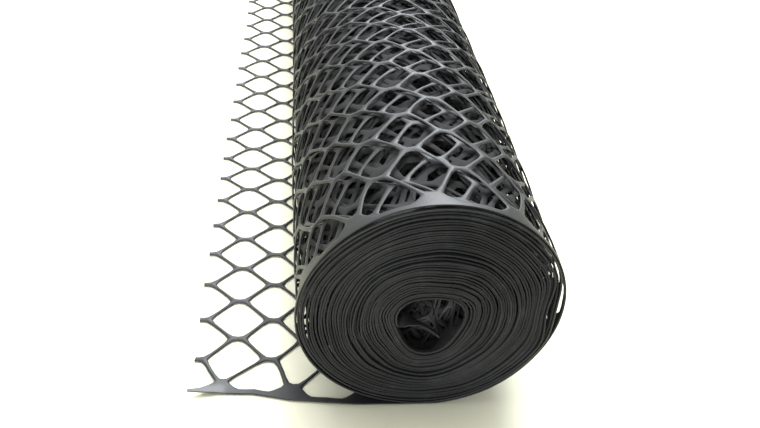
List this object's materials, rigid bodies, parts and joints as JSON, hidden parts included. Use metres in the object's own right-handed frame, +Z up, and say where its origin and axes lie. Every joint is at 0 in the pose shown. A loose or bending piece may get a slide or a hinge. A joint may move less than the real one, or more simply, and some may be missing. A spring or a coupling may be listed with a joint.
{
  "type": "roll of snow fence",
  "caption": "Roll of black plastic snow fence, a diamond net with solid edge strips, lying down with its outer end run out flat; it is unrolled and staked up as a barrier.",
  "frame": {"origin": "on the ground, in the middle of the roll and its loose end together", "axes": "+Y along the roll's axis, +X across it and away from the loose end, +Z up"},
  "size_m": [0.285, 1.22, 0.1975],
  "materials": {
    "rolled_net": "black extruded plastic net, satin",
    "loose_net": "black extruded plastic net, satin"
  },
  "bodies": {
    "root": {"roll": "rolled_net", "loose_end": "loose_net"}
  },
  "joints": []
}
